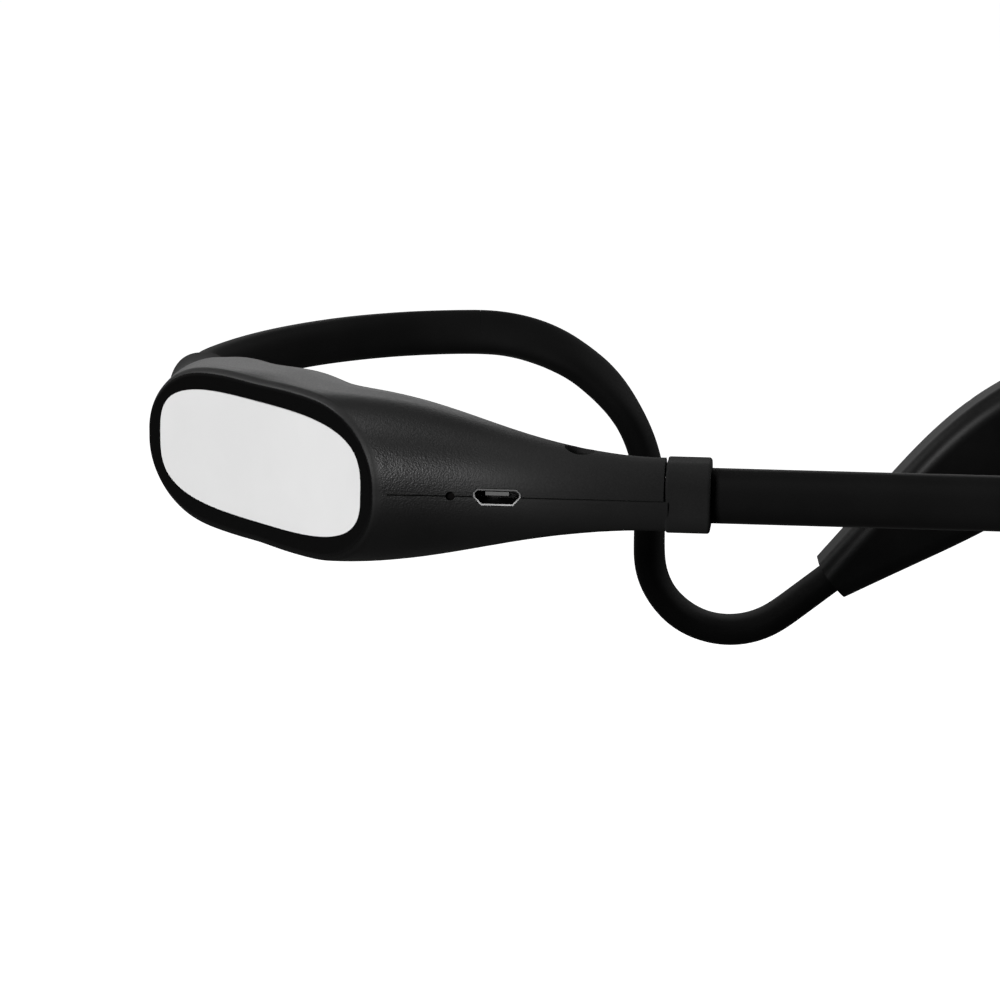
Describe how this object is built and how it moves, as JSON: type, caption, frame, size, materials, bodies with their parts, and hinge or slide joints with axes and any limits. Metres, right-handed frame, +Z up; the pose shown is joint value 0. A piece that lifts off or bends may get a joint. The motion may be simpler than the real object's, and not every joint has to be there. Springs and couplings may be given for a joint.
{
  "type": "neck reading light",
  "caption": "Hands-free reading light worn round the neck: a flexible band, a battery pod at each end, and bendable arms that carry small lamp heads.",
  "frame": {"origin": "middle of the neck band's inner face, where it rests on the back of the neck", "axes": "+Z up along the band's height, -Y the way the wearer faces, X across; the YZ plane is the plane of symmetry"},
  "size_m": [0.4882, 0.1963, 0.0749],
  "materials": {
    "band_silicone": "smooth matte silicone",
    "arm_silicone": "smooth matte silicone",
    "spring_steel": "bare",
    "grained_plastic": "leather-grain moulded texture",
    "smooth_plastic": "smooth satin moulding",
    "label_film": "bare white film",
    "socket_metal": "plated",
    "light_pipe": "dark tinted",
    "button_plastic": "satin",
    "switch_plastic": "moulded",
    "board_laminate": "solder mask",
    "cell_foil": "foil pouch",
    "screw_steel": "zinc plated",
    "lens_plastic": "frosted",
    "led_phosphor": "phosphor"
  },
  "bodies": {
    "neck_band": {"band_sleeve_mid": "band_silicone", "band_core_mid": "spring_steel"},
    "pod_right": {"band_sleeve_right": "band_silicone", "band_core_right": "spring_steel", "upper_shell_right": "grained_plastic", "lower_shell_right": "grained_plastic", "end_cap_right": "smooth_plastic", "circuit_board_right": "board_laminate", "button_switch_right": "switch_plastic", "battery_cell_right": "cell_foil", "shell_screws_right": "screw_steel", "arm_sleeve_root_right": "arm_silicone", "rating_label_right": "label_film", "usb_socket_right": "socket_metal", "charge_light_right": "light_pipe"},
    "push_button_right": {"button_right": "button_plastic"},
    "arm_near_right": {"arm_sleeve_near_right": "arm_silicone", "arm_core_near_right": "spring_steel"},
    "arm_far_right": {"arm_sleeve_far_right": "arm_silicone", "arm_core_far_right": "spring_steel"},
    "lamp_head_right": {"arm_sleeve_tip_right": "arm_silicone", "head_housing_right": "smooth_plastic", "head_bezel_right": "smooth_plastic", "lamp_lens_right": "lens_plastic", "led_board_right": "board_laminate", "leds_right": "led_phosphor"},
    "pod_left": {"band_sleeve_left": "band_silicone", "band_core_left": "spring_steel", "upper_shell_left": "grained_plastic", "lower_shell_left": "grained_plastic", "end_cap_left": "smooth_plastic", "circuit_board_left": "board_laminate", "button_switch_left": "switch_plastic", "battery_cell_left": "cell_foil", "shell_screws_left": "screw_steel", "arm_sleeve_root_left": "arm_silicone"},
    "push_button_left": {"button_left": "button_plastic"},
    "arm_near_left": {"arm_sleeve_near_left": "arm_silicone", "arm_core_near_left": "spring_steel"},
    "arm_far_left": {"arm_sleeve_far_left": "arm_silicone", "arm_core_far_left": "spring_steel"},
    "lamp_head_left": {"arm_sleeve_tip_left": "arm_silicone", "head_housing_left": "smooth_plastic", "head_bezel_left": "smooth_plastic", "lamp_lens_left": "lens_plastic", "led_board_left": "board_laminate", "leds_left": "led_phosphor"}
  },
  "joints": [
    {"name": "band_flex_right", "type": "hinge", "parent": "neck_band", "child": "pod_right", "pos_m": [-0.06144, -0.02928, 0], "axis": [0, 0, 1], "range_deg": [-30, 40]},
    {"name": "button_press_right", "type": "slide", "parent": "pod_right", "child": "push_button_right", "axis": [0, 0, -1], "range_m": [0, 0.0005], "stiffness_N_per_m": 900},
    {"name": "arm_swing_right", "type": "hinge", "parent": "pod_right", "child": "arm_near_right", "pos_m": [-0.231, -0.11543, 0.00029], "axis": [0.061, -0.0338, 0.9976], "range_deg": [-15, 60]},
    {"name": "arm_bend_right", "type": "hinge", "parent": "arm_near_right", "child": "arm_far_right", "pos_m": [-0.2202, -0.02511, -0.0361], "axis": [-0.8725, 0.4836, 0.0698], "range_deg": [-40, 60]},
    {"name": "arm_tip_right", "type": "hinge", "parent": "arm_far_right", "child": "lamp_head_right", "pos_m": [-0.20696, 0.00101, -0.05155], "axis": [-0.8725, 0.4836, 0.0698], "range_deg": [-30, 45]},
    {"name": "band_flex_left", "type": "hinge", "parent": "neck_band", "child": "pod_left", "pos_m": [0.06144, -0.02928, 0], "axis": [0, 0, -1], "range_deg": [-30, 40]},
    {"name": "button_press_left", "type": "slide", "parent": "pod_left", "child": "push_button_left", "axis": [0, 0, -1], "range_m": [0, 0.0005], "stiffness_N_per_m": 900},
    {"name": "arm_swing_left", "type": "hinge", "parent": "pod_left", "child": "arm_near_left", "pos_m": [0.231, -0.11543, 0.00029], "axis": [0.061, 0.0338, -0.9976], "range_deg": [-15, 60]},
    {"name": "arm_bend_left", "type": "hinge", "parent": "arm_near_left", "child": "arm_far_left", "pos_m": [0.2202, -0.02511, -0.0361], "axis": [-0.8725, -0.4836, -0.0698], "range_deg": [-40, 60]},
    {"name": "arm_tip_left", "type": "hinge", "parent": "arm_far_left", "child": "lamp_head_left", "pos_m": [0.20696, 0.00101, -0.05155], "axis": [-0.8725, -0.4836, -0.0698], "range_deg": [-30, 45]}
  ]
}
